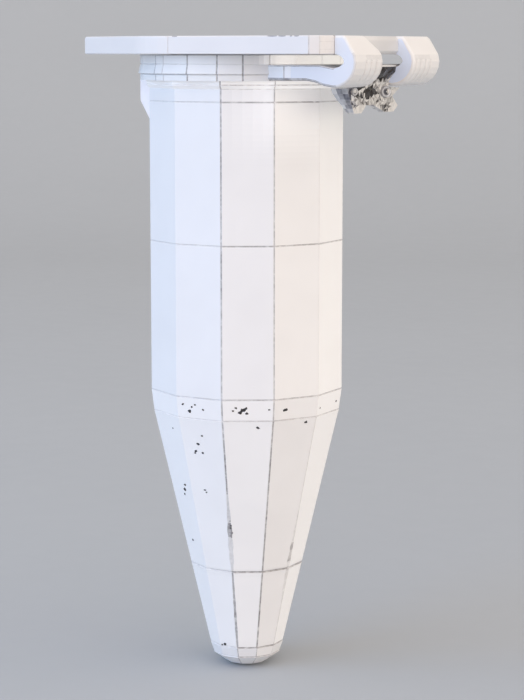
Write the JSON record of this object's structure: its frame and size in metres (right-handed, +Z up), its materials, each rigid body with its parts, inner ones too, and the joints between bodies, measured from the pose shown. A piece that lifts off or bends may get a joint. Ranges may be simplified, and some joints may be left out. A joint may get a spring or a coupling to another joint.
{
  "type": "microcentrifuge tube",
  "caption": "Small faceted conical tube with a hinged plug lid, thumb tab, folded strap hinge and a clear snap latch between the straps; hangs in a rack by its collar.",
  "frame": {"origin": "on the tube's axis, in the plane of the collar's underside, where the tube hangs in a rack", "axes": "+Z up along the tube to the lid, +X towards the hinge, thumb tab towards -X, the two straps at +Y and -Y"},
  "size_m": [0.0178, 0.0126, 0.035],
  "materials": {
    "tube_plastic": "satin white polypropylene, flat moulded facets",
    "collar_plastic": "satin white polypropylene, finely faceted",
    "strap_plastic": "satin white polypropylene, fluted on the outside of the bend",
    "lid_plastic": "satin white polypropylene",
    "plug_plastic": "smooth sealing surface",
    "latch_clear": "clear, sharp-edged moulding"
  },
  "bodies": {
    "tube": {"barrel": "tube_plastic", "taper_band": "tube_plastic", "cone": "tube_plastic", "tip": "tube_plastic", "neck_ring": "tube_plastic", "seat_ring": "collar_plastic", "flare_ring": "collar_plastic", "rim": "collar_plastic", "front_rib": "tube_plastic", "strap_root_left": "strap_plastic", "strap_root_right": "strap_plastic"},
    "hinge_lower": {"strap_lower_left": "strap_plastic", "strap_lower_right": "strap_plastic"},
    "hinge_upper": {"strap_upper_left": "strap_plastic", "strap_upper_right": "strap_plastic"},
    "lid": {"lid_plate": "lid_plastic", "lid_tab": "lid_plastic", "lid_plug": "plug_plastic", "seal_bead": "plug_plastic", "rear_bridge": "lid_plastic", "strap_end_left": "strap_plastic", "strap_end_right": "strap_plastic"},
    "latch": {"latch_arm": "latch_clear", "latch_plate": "latch_clear", "latch_prong_left": "latch_clear", "latch_prong_right": "latch_clear"}
  },
  "joints": [
    {"name": "strap_bend_low", "type": "hinge", "parent": "tube", "child": "hinge_lower", "pos_m": [0.00855, 0, -0.00013], "axis": [0, 1, 0], "range_deg": [0, 60]},
    {"name": "strap_bend_mid", "type": "hinge", "parent": "hinge_lower", "child": "hinge_upper", "pos_m": [0.0092, 0, 0.001], "axis": [0, 1, 0], "range_deg": [0, 60]},
    {"name": "lid_swing", "type": "hinge", "parent": "hinge_upper", "child": "lid", "pos_m": [0.0086, 0, 0.00221], "axis": [0, 1, 0], "range_deg": [0, 60]},
    {"name": "latch_flex", "type": "hinge", "parent": "tube", "child": "latch", "pos_m": [0.00581, 0, 0.0001], "axis": [0, 1, 0], "range_deg": [0, 8], "stiffness_Nm_per_rad": 0.0002}
  ],
  "couplings": [
    {"joint": "strap_bend_low", "follows": "lid_swing", "ratio": 1},
    {"joint": "strap_bend_mid", "follows": "lid_swing", "ratio": 1}
  ]
}
